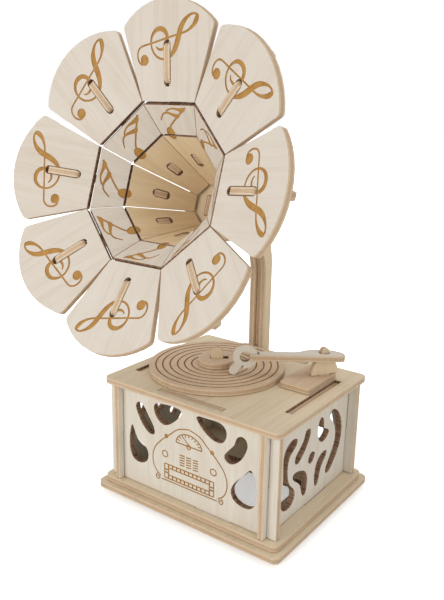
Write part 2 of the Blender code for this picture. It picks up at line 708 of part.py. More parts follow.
def main():
    for thing in list(bpy.data.objects):
        bpy.data.objects.remove(thing)
    bpy.context.scene.unit_settings.system = "METRIC"
    bpy.context.scene.unit_settings.scale_length = 1.0
    make_base()
    make_panels()
    make_lid()
    make_turntable()
    make_post()
    make_arm()
    make_horn_panels()
    make_ribs()
    make_collar()
    make_neck()


main()
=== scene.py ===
"""Finishes a push-together plywood gramophone: bare basswood faces, laser-cut edges and burnt engraving."""

import math
import random

import bmesh
import bpy
from bpy.props import FloatProperty, FloatVectorProperty, IntProperty, PointerProperty
from mathutils import Matrix, Vector


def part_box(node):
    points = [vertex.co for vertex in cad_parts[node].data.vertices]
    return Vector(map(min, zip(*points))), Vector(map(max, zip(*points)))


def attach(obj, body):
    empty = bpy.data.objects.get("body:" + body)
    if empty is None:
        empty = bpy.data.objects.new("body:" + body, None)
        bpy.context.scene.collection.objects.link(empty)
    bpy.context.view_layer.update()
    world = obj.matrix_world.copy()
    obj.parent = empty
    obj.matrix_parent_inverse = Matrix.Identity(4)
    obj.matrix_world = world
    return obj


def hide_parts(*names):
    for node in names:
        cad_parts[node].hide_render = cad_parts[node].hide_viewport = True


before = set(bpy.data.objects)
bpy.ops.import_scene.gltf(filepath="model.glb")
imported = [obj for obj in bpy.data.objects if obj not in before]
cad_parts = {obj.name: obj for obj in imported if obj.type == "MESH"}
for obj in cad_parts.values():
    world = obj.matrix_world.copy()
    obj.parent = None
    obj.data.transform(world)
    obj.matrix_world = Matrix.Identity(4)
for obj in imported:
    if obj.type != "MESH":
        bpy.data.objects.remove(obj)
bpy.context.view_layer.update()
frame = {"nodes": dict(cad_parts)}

bl_info = {
    "name": "Plywood Gramophone Jigsaw",
    "version": (1, 0, 0),
    "blender": (4, 5, 0),
    "location": "View3D > Sidebar > Jigsaw",
    "description": "Dresses the plates of a push-together wooden gramophone",
    "category": "Object",
}

MM = 0.001
PLY = 3 * MM
SECTORS = range(1, 9)
MERGE = 1e-6  # corners closer than this are one corner
FLAT_FOLD = 0.01  # two faces that fold less than this, in radians, are one face
SHARP_FOLD = 32  # degrees
CREASE_HALF = 0.02  # a crease's wall is centred no further than this from the middle of its plate
SQUARE_ON = 0.97  # and it faces along the plate, or nearly so
PROUD = 0.4 * MM  # how far a cutter stands out of the plate that it engraves

# Relief of the faces, of the cut edges and of the engraving
FACE_RELIEF = 0.00006
EDGE_RELIEF = 0.0001
BURN_RELIEF = 0.00008
BURNT_AND_SHADED = 0.75  # laser toasting plus painted shade on the walls of holes and of creases, much darker than other cut edges to stand in for the shade inside them

# The signs' drawings start this far inside the lower edge of their plates, in millimetres.
PETAL_SETBACK = 0.94
MIDDLE_SETBACK = 0.71

# Engraved signs, as (across, along, width) in millimetres
CLEF_STEM = [
    (-12.9, 15.3, 0.9), (-14.6, 15.9, 0.9), (-15.7, 17.8, 0.8), (-15.7, 20.2, 0.8), (-14.4, 22.0, 0.8),
    (-12.0, 22.8, 0.75), (-8.0, 23.6, 0.75), (-3.0, 24.7, 0.75), (2.0, 25.8, 0.75), (6.5, 26.7, 0.8),
    (10.0, 27.6, 0.9), (12.6, 29.0, 1.3), (14.6, 31.0, 2.0), (15.3, 32.9, 1.9), (14.7, 33.7, 0.7),
]
CLEF_BODY = [
    (14.8, 33.8, 0.9), (12.8, 33.8, 0.9), (10.6, 32.8, 1.3), (8.6, 31.1, 2.0), (7.1, 28.8, 2.4),
    (6.1, 26.0, 2.5), (5.1, 23.2, 2.5), (3.7, 20.6, 2.1), (1.6, 18.4, 1.3), (-1.5, 17.4, 0.9),
    (-4.7, 18.0, 0.9), (-7.3, 20.2, 0.9), (-8.4, 23.2, 0.9), (-7.9, 26.2, 1.2), (-6.1, 28.3, 1.6),
    (-3.6, 29.0, 1.9), (-1.2, 28.2, 1.9), (0.1, 26.2, 1.6), (0.2, 23.8, 1.3), (-0.9, 21.9, 1.2),
    (-2.9, 21.1, 1.1), (-4.6, 21.3, 0.8), (-5.7, 22.2, 0.5),
]
CLEF_DOT = (-12.1, 17.1, 2.15)
NOTE_STEM = [(-3.4, 3.6, 0.9), (-2.0, 5.4, 0.8), (1.8, 8.5, 0.8), (5.0, 10.9, 0.9), (8.3, 13.4, 0.9)]
NOTE_FLAGS = [
    [
        (7.6, 12.8, 1.2), (6.2, 12.3, 2.1), (4.4, 12.6, 1.4), (2.0, 13.0, 0.9),
        (0.0, 12.8, 0.7), (-1.8, 12.0, 0.7), (-2.4, 11.2, 0.6),
    ],
    [
        (3.8, 10.0, 1.2), (2.6, 9.5, 2.0), (0.8, 10.1, 1.6), (-1.2, 10.9, 1.1),
        (-3.0, 11.0, 0.8), (-4.6, 10.3, 0.7), (-5.8, 8.9, 0.6), (-6.9, 7.4, 0.5),
    ],
]
NOTE_HEAD = (-3.8, 0.9, 2.2, 3.4)

# Engraving of the front panel, across from its middle and up from its lower edge, in millimetres
DOME = [
    (17.0, 18.6), (20.6, 21.8), (21.9, 27.2), (20.4, 32.6),
    (16.4, 37.4), (11.0, 42.0), (6.2, 45.9), (0.0, 47.6),
]
DOME_FOOT = (16.4, 17.3)  # half width and height of the line under the dome
STUD = (13.4, 40.4, 1.15)
KNOB = (14.2, 31.0, 1.6)
SCROLL = (18.4, 17.6)
GRILLE = ((-3.9, 0.0, 3.9), 1.5, 28.1, 1.25)  # columns, half width of a bar, lowest bar, step
HUB = 1.1
PANEL_MIDDLE = 0.3
BOARD = ((14.5, 18.6, 26.0), (12.1, 20.5, 24.1))  # half width, bottom and top of its two frames
DIAL = (39.2, 7.5, 5.6)  # height of its middle, half width, rise
GROOVES = (30.4, 27.0, 23.4, 19.7, 16.2, 12.7)

# Camera and lights
EYE = Vector((0.19459, -0.24645, 0.1920))
YAW, PITCH, ROLL = 35.91, 15.90, 1.08  # degrees
KEY_PLACE = (-0.3, -0.85, 0.3)
FILL_PLACE = (0.8, -0.3, 0.4)
TOP_PLACE = (0, 0, 0.95)


def smooth(knots, per_span=5):
    """More points along a curve through the knots, which may hold any number of values each."""
    points = []
    last = len(knots) - 1
    for i in range(last):
        a, b, c, d = (knots[min(max(i + k, 0), last)] for k in (-1, 0, 1, 2))
        for step in range(per_span):
            t = step / per_span
            spans = zip(a, b, c, d)
            points.append(
                tuple(
                    q + (r - p + (2 * p - 5 * q + 4 * r - s) * t + (3 * q - p - 3 * r + s) * t * t) * t / 2
                    for p, q, r, s in spans
                )
            )
    return points + [tuple(knots[-1])]


class Plate:
    """A plate's own axes, read from its solid: across and along its good face, and outwards from it."""

    def __init__(self, node, along, face, creases):
        mesh = frame["nodes"][node].data
        spread = Matrix(((0, 0, 0), (0, 0, 0), (0, 0, 0)))
        for polygon in mesh.polygons:
            n = polygon.normal
            weight = polygon.area
            for i in range(3):
                for j in range(3):
                    spread[i][j] += weight * n[i] * n[j]
        normal = Vector(face).normalized() + Vector((0.01, 0.02, 0.03))
        for _ in range(60):
            normal = (spread @ normal).normalized()
        self.face = normal if normal.dot(Vector(face)) >= 0 else -normal
        along = Vector(along)
        self.along = (along - self.face * along.dot(self.face)).normalized()
        self.across = self.along.cross(self.face)
        axes = (self.across, self.along, self.face)
        spans = [[v.co.dot(axis) for v in mesh.vertices] for axis in axes]
        middle = (min(spans[0]) + max(spans[0])) / 2
        self.height = max(spans[1]) - min(spans[1])
        self.creases = creases
        self.origin = self.across * middle + self.along * min(spans[1]) + self.face * min(spans[2])

    def at(self, across, along, out):
        """The point in millimetres across and along the plate, and in metres out from its back."""
        return self.origin + self.across * across * MM + self.along * along * MM + self.face * out

    def local(self, point):
        """(across, along, out) of a point, in metres."""
        offset = point - self.origin
        return offset.dot(self.across), offset.dot(self.along), offset.dot(self.face)


def raise_faces(shape, faces, rise):
    """Thickens a flat patch into a closed solid."""
    grown = bmesh.ops.extrude_face_region(shape, geom=faces)
    corners = [item for item in grown["geom"] if isinstance(item, bmesh.types.BMVert)]
    bmesh.ops.translate(shape, verts=corners, vec=rise)


def add_band(shape, plate, line, depth, closed=False):
    """A solid band along (across, along, width) points, sunk to a depth and standing proud of the plate."""
    low = PLY - depth
    sides = []
    count = len(line)
    for i, (x, y, width) in enumerate(line):
        before = line[i - 1] if closed or i > 0 else line[i]
        after = line[(i + 1) % count] if closed or i < count - 1 else line[i]
        run = Vector((after[0] - before[0], after[1] - before[1])).normalized() * width / 2
        ends = (plate.at(x - run.y, y + run.x, low), plate.at(x + run.y, y - run.x, low))
        sides.append([shape.verts.new(end) for end in ends])
    faces = []
    for i in range(count if closed else count - 1):
        a, b = sides[i], sides[(i + 1) % count]
        faces.append(shape.faces.new((a[0], a[1], b[1], b[0])))
    raise_faces(shape, faces, plate.face * (depth + PROUD))


def add_spot(shape, plate, x, y, wide, high, depth, segments=28):
    """A filled round or oval mark."""
    place = Matrix.Translation(plate.at(x, y, PLY - depth))
    turn = Matrix((plate.across, plate.along, plate.face)).transposed().to_4x4()
    size = Matrix.Diagonal((wide * MM, high * MM, 1, 1))
    matrix = place @ turn @ size
    ring = bmesh.ops.create_circle(shape, cap_ends=True, segments=segments, radius=1, matrix=matrix)
    faces = list({face for corner in ring["verts"] for face in corner.link_faces})
    raise_faces(shape, faces, plate.face * (depth + PROUD))


def add_ring(shape, plate, x, y, radius, width, depth):
    """A round line."""
    steps = int(4 * radius) + 8
    turns = [math.radians(360 * i / steps) for i in range(steps)]
    line = [(x + radius * math.cos(t), y + radius * math.sin(t), width) for t in turns]
    add_band(shape, plate, line, depth, closed=True)


def add_line(shape, plate, points, width, depth):
    add_band(shape, plate, [(x, y, width) for x, y in points], depth)


class Tree:
    """A node tree, with short ways to add the nodes that wood needs."""

    def __init__(self, tree):
        self.tree = tree

    def add(self, kind, **settings):
        node = self.tree.nodes.new("ShaderNode" + kind)
        for name, value in settings.items():
            setattr(node, name, value)
        return node

    def feed(self, socket, value):
        if isinstance(value, bpy.types.NodeSocket):
            self.tree.links.new(value, socket)
        else:
            socket.default_value = value

    def math(self, operation, a, b=0.0, clamp=False):
        node = self.add("Math", operation=operation, use_clamp=clamp)
        self.feed(node.inputs[0], a)
        self.feed(node.inputs[1], b)
        return node.outputs[0]

    def blend(self, share, a, b):
        node = self.add("Mix", data_type="RGBA")
        self.feed(node.inputs[0], share)
        self.feed(node.inputs[6], a)
        self.feed(node.inputs[7], b)
        return node.outputs[2]

    def spread(self, value, low, high, to_low=0.0, to_high=1.0):
        node = self.add("MapRange", interpolation_type="SMOOTHSTEP")
        for i, given in enumerate((value, low, high, to_low, to_high)):
            self.feed(node.inputs[i], given)
        return node.outputs[0]

    def noise(self, place, scale, detail=3.0, distortion=0.0):
        """Noise whose scale is given along each axis, in repeats per metre."""
        stretched = self.add("Mapping")
        self.feed(stretched.inputs["Vector"], place)
        stretched.inputs["Scale"].default_value = scale
        node = self.add("TexNoise")
        self.feed(node.inputs["Vector"], stretched.outputs[0])
        node.inputs["Scale"].default_value = 1.0
        node.inputs["Detail"].default_value = detail
        node.inputs["Distortion"].default_value = distortion
        return node.outputs[0]

    def place(self):
        """Where a point is on its plate: across, along and out from the back, in metres."""
        flat = self.add("UVMap", uv_map="plate")
        parts = self.add("SeparateXYZ")
        self.feed(parts.inputs[0], flat.outputs[0])
        joined = self.add("CombineXYZ")
        self.feed(joined.inputs[0], parts.outputs[0])
        self.feed(joined.inputs[1], parts.outputs[1])
        self.feed(joined.inputs[2], self.layer())
        return joined.outputs[0]

    def layer(self):
        return self.add("Attribute", attribute_name="out_from_back").outputs["Fac"]


def new_group(name, inputs, outputs):
    group = bpy.data.node_groups.new(name, "ShaderNodeTree")
    for label, kind, value in inputs:
        socket = group.interface.new_socket(label, in_out="INPUT", socket_type=kind)
        socket.default_value = value
    for label, kind in outputs:
        group.interface.new_socket(label, in_out="OUTPUT", socket_type=kind)
    tree = Tree(group)
    return tree, tree.tree.nodes.new("NodeGroupInput"), tree.tree.nodes.new("NodeGroupOutput")


FINISH_SOCKETS = (
    ("Color", "NodeSocketColor"),
    ("Roughness", "NodeSocketFloat"),
    ("Height", "NodeSocketFloat"),
)


def make_grain_group():
    """Fine fibres, soft growth bands and a tone that differs from plate to plate."""
    inputs = (
        ("Pale", "NodeSocketColor", (0.8, 0.7, 0.6, 1)),
        ("Grain", "NodeSocketColor", (0.6, 0.45, 0.3, 1)),
        ("Strength", "NodeSocketFloat", 1.0),
    )
    tree, given, made = new_group("Basswood grain", inputs, FINISH_SOCKETS)
    place = tree.place()
    fibre = tree.noise(place, (1900, 70, 300), 3, 0.3)
    band = tree.noise(place, (260, 9, 40), 2, 0.9)
    blotch = tree.noise(place, (45, 30, 10), 3)
    tone = tree.noise(place, (3, 3, 1), 1)
    pores = tree.spread(tree.noise(place, (2600, 240, 300), 1), 0.66, 0.74)
    share = tree.math("MULTIPLY", tree.spread(fibre, 0.32, 0.75), 0.26)
    share = tree.math("ADD", share, tree.math("MULTIPLY", tree.spread(band, 0.38, 0.72), 0.34))
    share = tree.math("ADD", share, tree.math("MULTIPLY", tree.spread(blotch, 0.35, 0.75), 0.22))
    share = tree.math("ADD", share, tree.math("MULTIPLY", tree.spread(tone, 0.3, 0.7), 0.22))
    share = tree.math("ADD", share, tree.math("MULTIPLY", pores, 0.25))
    share = tree.math("MULTIPLY", share, given.outputs["Strength"], clamp=True)
    tree.feed(made.inputs["Color"], tree.blend(share, given.outputs["Pale"], given.outputs["Grain"]))
    tree.feed(made.inputs["Roughness"], tree.spread(fibre, 0.2, 0.8, 0.52, 0.72))
    height = tree.math("SUBTRACT", fibre, tree.math("MULTIPLY", pores, 0.6))
    tree.feed(made.inputs["Height"], height)
    return tree.tree


def make_edge_group():
    """Three plies with two glue lines, toasted by the laser in streaks that run through the sheet. Strong
    toasting also gives painted shade on the walls of holes and creases.
    """
    inputs = (
        ("Veneer", "NodeSocketColor", (0.7, 0.55, 0.4, 1)),
        ("Core", "NodeSocketColor", (0.5, 0.33, 0.2, 1)),
        ("Char", "NodeSocketColor", (0.1, 0.05, 0.03, 1)),
        ("Toasting and shade", "NodeSocketFloat", 0.12),
    )
    tree, given, made = new_group("Laser-cut ply edge", inputs, FINISH_SOCKETS)
    place = tree.place()
    wander = tree.math("MULTIPLY", tree.noise(place, (120, 120, 20), 2), 0.00025)
    depth = tree.math("ADD", tree.layer(), wander)
    from_middle = tree.math("ABSOLUTE", tree.math("SUBTRACT", depth, 0.00162))
    core = tree.spread(from_middle, 0.00045, 0.00062, 1.0, 0.0)
    from_glue = tree.math("ABSOLUTE", tree.math("SUBTRACT", from_middle, 0.00054))
    glue = tree.spread(from_glue, 0.00004, 0.00013, 1.0, 0.0)
    arris = tree.spread(from_middle, 0.00115, 0.00150)
    streak = tree.noise(place, (900, 900, 60), 2)
    smoke = tree.noise(place, (70, 70, 200), 2)
    fibre = tree.noise(place, (350, 350, 6000), 2)
    colour = tree.blend(core, given.outputs["Veneer"], given.outputs["Core"])
    fibres = tree.math("MULTIPLY", tree.spread(fibre, 0.35, 0.75), 0.35)
    colour = tree.blend(fibres, colour, given.outputs["Core"])
    uneven = tree.spread(streak, 0.35, 0.8, 0.7, 1.3)
    toast_and_shade = tree.math("MULTIPLY", uneven, given.outputs["Toasting and shade"])
    toast_and_shade = tree.math("ADD", toast_and_shade, tree.math("MULTIPLY", tree.spread(smoke, 0.45, 0.8), 0.14))
    toast_and_shade = tree.math("ADD", toast_and_shade, tree.math("MULTIPLY", glue, 0.3))
    toast_and_shade = tree.math("ADD", toast_and_shade, tree.math("MULTIPLY", arris, 0.18), clamp=True)
    tree.feed(made.inputs["Color"], tree.blend(toast_and_shade, colour, given.outputs["Char"]))
    tree.feed(made.inputs["Roughness"], tree.spread(streak, 0.3, 0.8, 0.5, 0.75))
    height = tree.math("SUBTRACT", tree.math("MULTIPLY", streak, 0.5), tree.math("MULTIPLY", glue, 0.6))
    tree.feed(made.inputs["Height"], height)
    return tree.tree


def make_burn_group():
    """Wood browned by a passing laser: close scan lines, with lighter and darker patches."""
    inputs = (
        ("Light", "NodeSocketColor", (0.5, 0.25, 0.1, 1)),
        ("Dark", "NodeSocketColor", (0.25, 0.1, 0.04, 1)),
    )
    tree, given, made = new_group("Laser engraving", inputs, FINISH_SOCKETS)
    place = tree.place()
    scan = tree.noise(place, (150, 5200, 200), 1)
    patch = tree.noise(place, (330, 330, 100), 2)
    share = tree.math("MULTIPLY", tree.spread(scan, 0.3, 0.7), 0.35)
    share = tree.math("ADD", share, tree.math("MULTIPLY", tree.spread(patch, 0.35, 0.75), 0.5), clamp=True)
    tree.feed(made.inputs["Color"], tree.blend(share, given.outputs["Light"], given.outputs["Dark"]))
    tree.feed(made.inputs["Roughness"], tree.spread(patch, 0.3, 0.7, 0.62, 0.8))
    tree.feed(made.inputs["Height"], scan)
    return tree.tree


def make_finish(name, group, values, bump):
    """A material that lights one of the wood effects."""
    material = bpy.data.materials.new(name)
    material.use_nodes = True
    tree = Tree(material.node_tree)
    shader = material.node_tree.nodes["Principled BSDF"]
    effect = tree.add("Group", node_tree=group)
    for label, value in values.items():
        effect.inputs[label].default_value = (*value, 1) if hasattr(value, "__len__") else value
    relief = tree.add("Bump")
    relief.inputs["Strength"].default_value = 0.6
    relief.inputs["Distance"].default_value = bump
    tree.feed(relief.inputs["Height"], effect.outputs["Height"])
    tree.feed(shader.inputs["Base Color"], effect.outputs["Color"])
    tree.feed(shader.inputs["Roughness"], effect.outputs["Roughness"])
    tree.feed(shader.inputs["Normal"], relief.outputs["Normal"])
    shader.inputs["Specular IOR Level"].default_value = 0.3
    return material


def colour_property(name, description, default):
    return FloatVectorProperty(
        name=name, description=description, default=default, subtype="COLOR", size=3, min=0.0, max=1.0
    )


class WoodColours(bpy.types.PropertyGroup):
    horn: colour_property("Horn", "Faces of the petals and of the middle panels", (0.665, 0.605, 0.525))
    horn_grain: colour_property("Horn grain", "Grain of the horn's faces", (0.575, 0.485, 0.39))
    panel: colour_property("Panel", "Faces of the cabinet's panels", (0.74, 0.69, 0.60))
    panel_grain: colour_property("Panel grain", "Grain of the cabinet's panels", (0.63, 0.55, 0.44))
    deck: colour_property("Deck", "Faces that lie flat", (0.79, 0.675, 0.49))
    deck_grain: colour_property("Deck grain", "Grain of the flat faces", (0.64, 0.51, 0.35))
    record: colour_property("Record", "Faces of the record", (0.72, 0.555, 0.395))
    record_grain: colour_property("Record grain", "Grain of the record", (0.58, 0.42, 0.275))
    # painted shade and painted bounce light: the inner panels get a darker, warmer colour than the petals for
    # the shade inside the horn's throat
    shaded_throat: colour_property("Throat", "Faces of the horn's inner panels", (0.78, 0.63, 0.42))
    shaded_throat_grain: colour_property("Throat grain", "Grain of the inner panels", (0.62, 0.47, 0.28))
    frame: colour_property("Frame", "Faces of the neck and of the small parts", (0.78, 0.64, 0.44))
    frame_grain: colour_property("Frame grain", "Grain of the frame's faces", (0.60, 0.45, 0.28))
    veneer: colour_property("Edge veneer", "Outer plies where they are cut", (0.74, 0.58, 0.40))
    core: colour_property("Edge core", "Middle ply where it is cut", (0.60, 0.43, 0.27))
    char: colour_property("Char", "Scorched wood", (0.15, 0.052, 0.019))
    engraved: colour_property("Engraving", "Laser-engraved signs", (0.46, 0.245, 0.06))
    engraved_dark: colour_property("Dark engraving", "Darker patches of the engraving", (0.33, 0.155, 0.035))


class PlateSizes(bpy.types.PropertyGroup):
    arris: FloatProperty(
        name="Arris", description="Rounding of a plate's edges", default=0.00014, unit="LENGTH"
    )
    engraving: FloatProperty(
        name="Engraving depth", description="Depth of the engraved signs", default=0.00022, unit="LENGTH"
    )
    groove: FloatProperty(
        name="Groove depth", description="Depth of the record's grooves", default=0.0005, unit="LENGTH"
    )
    groove_width: FloatProperty(
        name="Groove width", description="Width of the record's grooves, in millimetres", default=0.75
    )
    line_width: FloatProperty(
        name="Line width", description="Width of the front panel's lines, in millimetres", default=0.62
    )
    seed: IntProperty(name="Seed", description="Which cut of the sheet each plate comes from", default=7)


class StageSettings(bpy.types.PropertyGroup):
    floor: colour_property("Floor", "Colour of the floor", (0.93, 0.93, 0.93))
    floor_glow: FloatProperty(
        name="Floor glow", description="How much the floor under the model glows of itself", default=0.45
    )
    world: FloatProperty(name="Sky", description="Strength of the light from all round", default=0.6)
    key: FloatProperty(name="Key", description="Power of the key light", default=3.2, unit="POWER")
    top: FloatProperty(name="Top", description="Power of the light from above", default=1.6, unit="POWER")
    fill: FloatProperty(name="Fill", description="Power of the fill light", default=1.3, unit="POWER")
    lens: FloatProperty(name="Lens", description="Focal length in millimetres", default=42.21)


MADE = {}


def finish(kind):
    """The materials of a kind of plate: face, cut edge, a darker edge with laser char and painted shade for
    the walls of holes and creases, and engraving.
    """
    colours = bpy.context.scene.jigsaw_colours
    if not MADE:
        MADE["grain"] = make_grain_group()
        MADE["edge"] = make_edge_group()
        MADE["burn"] = make_burn_group()
    if kind not in MADE:
        values = {"Pale": getattr(colours, kind), "Grain": getattr(colours, f"{kind}_grain")}
        face = make_finish(f"{kind}_face", MADE["grain"], values, FACE_RELIEF)
        values = {"Veneer": colours.veneer, "Core": colours.core, "Char": colours.char}
        edge = make_finish(f"{kind}_cut_edge", MADE["edge"], values, EDGE_RELIEF)
        # painted shade: much stronger toasting darkens the walls of holes and creases as if shade lay in
        # them, on top of their laser char
        values["Toasting and shade"] = BURNT_AND_SHADED
        burnt_and_shaded = make_finish(f"{kind}_burnt_and_shaded_edge", MADE["edge"], values, EDGE_RELIEF)
        values = {"Light": colours.engraved, "Dark": colours.engraved_dark}
        burn = make_finish(f"{kind}_engraving", MADE["burn"], values, BURN_RELIEF)
        MADE[kind] = (face, edge, burnt_and_shaded, burn)
    return MADE[kind]


def plate_copy(node, plate, arris):
    """A copy of a plate's solid with whole faces and rounded arrises."""
    shape = bmesh.new()
    shape.from_mesh(frame["nodes"][node].data)
    bmesh.ops.remove_doubles(shape, verts=shape.verts, dist=MERGE)
    paired = [edge for edge in shape.edges if len(edge.link_faces) == 2]
    flat = [edge for edge in paired if edge.calc_face_angle(0) < FLAT_FOLD]
    bmesh.ops.dissolve_edges(shape, edges=flat, use_verts=False, use_face_split=False)

    def is_face(face):
        return abs(face.normal.dot(plate.face)) > 0.7

    rims = [edge for edge in shape.edges if len({is_face(face) for face in edge.link_faces}) == 2]
    bmesh.ops.bevel(
        shape,
        geom=rims,
        offset=arris,
        offset_type="OFFSET",
        segments=2,
        profile=0.5,
        affect="EDGES",
        material=-1,
        clamp_overlap=True,
    )
    for face in shape.faces:
        face.material_index = 0 if is_face(face) else 1
    burn_and_shade_tight_walls(shape, plate)
    return shape


def wall_rings(shape):
    """The walls of a plate, as one set of faces for its outline and one for each hole."""
    left = {face for face in shape.faces if face.material_index == 1}
    rings = []
    while left:
        ring, open_faces = set(), [left.pop()]
        while open_faces:
            face = open_faces.pop()
            ring.add(face)
            near = {other for edge in face.edges for other in edge.link_faces} & left
            left -= near
            open_faces.extend(near)
        rings.append(ring)
    return rings


def ring_width(ring, plate):
    across = [plate.local(corner.co)[0] for face in ring for corner in face.verts]
    return max(across) - min(across)


def is_crease_wall(face, plate):
    """Whether a wall meets another ring of the horn: the lower one, and the upper one where there are two."""
    lean = face.normal.dot(plate.along)
    central = abs(plate.local(face.calc_center_median())[0]) < CREASE_HALF
    return abs(lean) > SQUARE_ON and central and (lean < 0 or plate.creases > 1)


def burn_and_shade_tight_walls(shape, plate):
    """Gives the walls of holes, and of the creases between the horn's rings, their darker finish: laser char
    plus painted shade for the shade inside holes and gaps.
    """
    rings = wall_rings(shape)
    outline = max(rings, key=lambda ring: ring_width(ring, plate))
    for ring in rings:
        for face in ring:
            if ring is not outline or (plate.creases and is_crease_wall(face, plate)):
                face.material_index = 2


def cut_away(piece, cutter):
    """Cuts the engraving out of a piece, and keeps the cutter's material where it went."""
    cut = piece.modifiers.new("engraving", "BOOLEAN")
    cut.object = cutter
    cut.operation = "DIFFERENCE"
    cut.solver = "EXACT"
    cut.use_self = True
    cut.material_mode = "TRANSFER"
    graph = bpy.context.evaluated_depsgraph_get()
    carved = bpy.data.meshes.new_from_object(piece.evaluated_get(graph))
    piece.modifiers.clear()
    if len(carved.polygons) <= len(piece.data.polygons):
        raise RuntimeError(f"the engraving left no mark on {piece.name}")
    piece.data = carved
    bpy.data.objects.remove(cutter)


def lay_pattern(mesh, plate, random_source):
    """Stores where each point is on its plate, moved to a place of its own on a large sheet."""
    shift = (random_source.uniform(-4, 4), random_source.uniform(-4, 4))
    sheet = mesh.uv_layers.get("plate") or mesh.uv_layers.new(name="plate")
    layer = mesh.attributes.get("out_from_back") or mesh.attributes.new("out_from_back", "FLOAT", "POINT")
    places = [plate.local(vertex.co) for vertex in mesh.vertices]
    for loop in mesh.loops:
        across, along, _ = places[loop.vertex_index]
        sheet.data[loop.index].uv = (across + shift[0], along + shift[1])
    layer.data.foreach_set("value", [out for _, _, out in places])


def dress(node, along, face, kind, body, engraving=None, creases=0):
    """Makes the finished piece that stands for a plate. It can meet other plates in one or two creases."""
    sizes = bpy.context.scene.jigsaw_plates
    plate = Plate(node, along, face, creases)
    shape = plate_copy(node, plate, sizes.arris)
    mesh = bpy.data.meshes.new(f"{node}_wood")
    shape.to_mesh(mesh)
    shape.free()
    *woods, burn = finish(kind)
    for wood in woods:
        mesh.materials.append(wood)
    piece = bpy.data.objects.new(f"{node}_wood", mesh)
    bpy.context.scene.collection.objects.link(piece)
    if engraving:
        marks = bmesh.new()
        engraving(marks, plate)
        bmesh.ops.recalc_face_normals(marks, faces=marks.faces)
        cutter_mesh = bpy.data.meshes.new("engraving")
        marks.to_mesh(cutter_mesh)
        marks.free()
        cutter_mesh.materials.append(burn)
        cutter = bpy.data.objects.new("engraving", cutter_mesh)
        bpy.context.scene.collection.objects.link(cutter)
        cut_away(piece, cutter)
    mesh = piece.data
    lay_pattern(mesh, plate, random.Random(f"{sizes.seed} {node}"))
    mesh.set_sharp_from_angle(angle=math.radians(SHARP_FOLD))
    walls = [abs(polygon.normal.dot(plate.face)) < 0.5 for polygon in mesh.polygons]
    mesh.polygons.foreach_set("use_smooth", walls)
    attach(piece, body)
    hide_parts(node)
    return piece


def middle_of(node):
    low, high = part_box(node)
    return (low + high) / 2


def horn_axis():
    """The middle of the horn's petals, and the way its mouth faces."""
    middle = sum((middle_of(f"horn_petal_{k}") for k in SECTORS), Vector()) / len(SECTORS)
    return middle, (middle - middle_of("horn_collar")).normalized()


def outwards(node):
    """The way from the horn's axis to the middle of one of its plates."""
    middle, forward = horn_axis()
    offset = middle_of(node) - middle
    return offset - forward * offset.dot(forward)


def draw_clef(shape, plate):
    depth = bpy.context.scene.jigsaw_plates.engraving
    for line, extra in ((CLEF_STEM, 0.0), (CLEF_BODY, 0.02)):
        moved = [(x, y - PETAL_SETBACK, width) for x, y, width in line]
        add_band(shape, plate, smooth(moved), depth + extra * MM)
    x, y, radius = CLEF_DOT
    add_spot(shape, plate, x, y - PETAL_SETBACK, radius, radius, depth + 0.04 * MM)


def draw_note(shape, plate):
    depth = bpy.context.scene.jigsaw_plates.engraving
    for i, line in enumerate((NOTE_STEM, *NOTE_FLAGS)):
        moved = [(x, y - MIDDLE_SETBACK, width) for x, y, width in line]
        add_band(shape, plate, smooth(moved), depth + 0.02 * i * MM)
    x, y, wide, high = NOTE_HEAD
    add_spot(shape, plate, x, y - MIDDLE_SETBACK, wide, high, depth + 0.08 * MM)


def draw_note_head(shape, plate):
    """The lower end of the note, which runs on over the crease."""
    x, y, wide, high = NOTE_HEAD
    top = plate.height / MM + MIDDLE_SETBACK
    add_spot(shape, plate, x, top + y, wide, high, bpy.context.scene.jigsaw_plates.engraving)


def draw_radio_front(shape, plate):
    """A domed outline with a tuning dial, two knobs, a grille and a framed name board left blank."""
    sizes = bpy.context.scene.jigsaw_plates
    width, depth = sizes.line_width, sizes.engraving
    mid = PANEL_MIDDLE
    half = smooth([(x, y, width) for x, y in DOME])
    dome = [(mid + x, y, w) for x, y, w in half] + [(mid - x, y, w) for x, y, w in reversed(half[:-1])]
    add_band(shape, plate, dome, depth)
    reach, foot = DOME_FOOT
    add_line(shape, plate, [(mid - reach, foot), (mid + reach, foot)], width, depth)
    draw_dial(shape, plate, mid, width, depth)
    for side in (-1, 1):
        x, y, radius = STUD
        add_spot(shape, plate, mid + side * x, y, radius, radius, depth + 0.03 * MM, 16)
        x, y, radius = KNOB
        add_ring(shape, plate, mid + side * x, y, radius, width, depth)
        x, y = SCROLL
        draw_scroll(shape, plate, mid + side * x, y, side, width, depth)
    draw_grille(shape, plate, mid, width, depth)
    draw_board(shape, plate, mid, width, depth)


def draw_dial(shape, plate, mid, width, depth):
    """A low half-round tuning scale with its ticks, needle and hub."""
    base, wide, rise = DIAL

    def on_dial(degrees, share):
        turn = math.radians(degrees)
        return (mid + share * wide * math.cos(turn), base + share * rise * math.sin(turn))

    rim = [on_dial(7.5 * i, 1) for i in range(25)]
    add_line(shape, plate, rim, width, depth)
    add_line(shape, plate, [on_dial(180, 1), on_dial(0, 1)], width, depth + 0.02 * MM)
    for i in range(1, 10):
        tick = [on_dial(18 * i, 0.74), on_dial(18 * i, 0.98)]
        add_line(shape, plate, tick, width * 0.8, depth + 0.03 * MM)
    add_line(shape, plate, [on_dial(90, 0.1), on_dial(125, 0.8)], width * 0.8, depth + 0.05 * MM)
    add_ring(shape, plate, mid, base - 0.4, HUB, width, depth + 0.04 * MM)


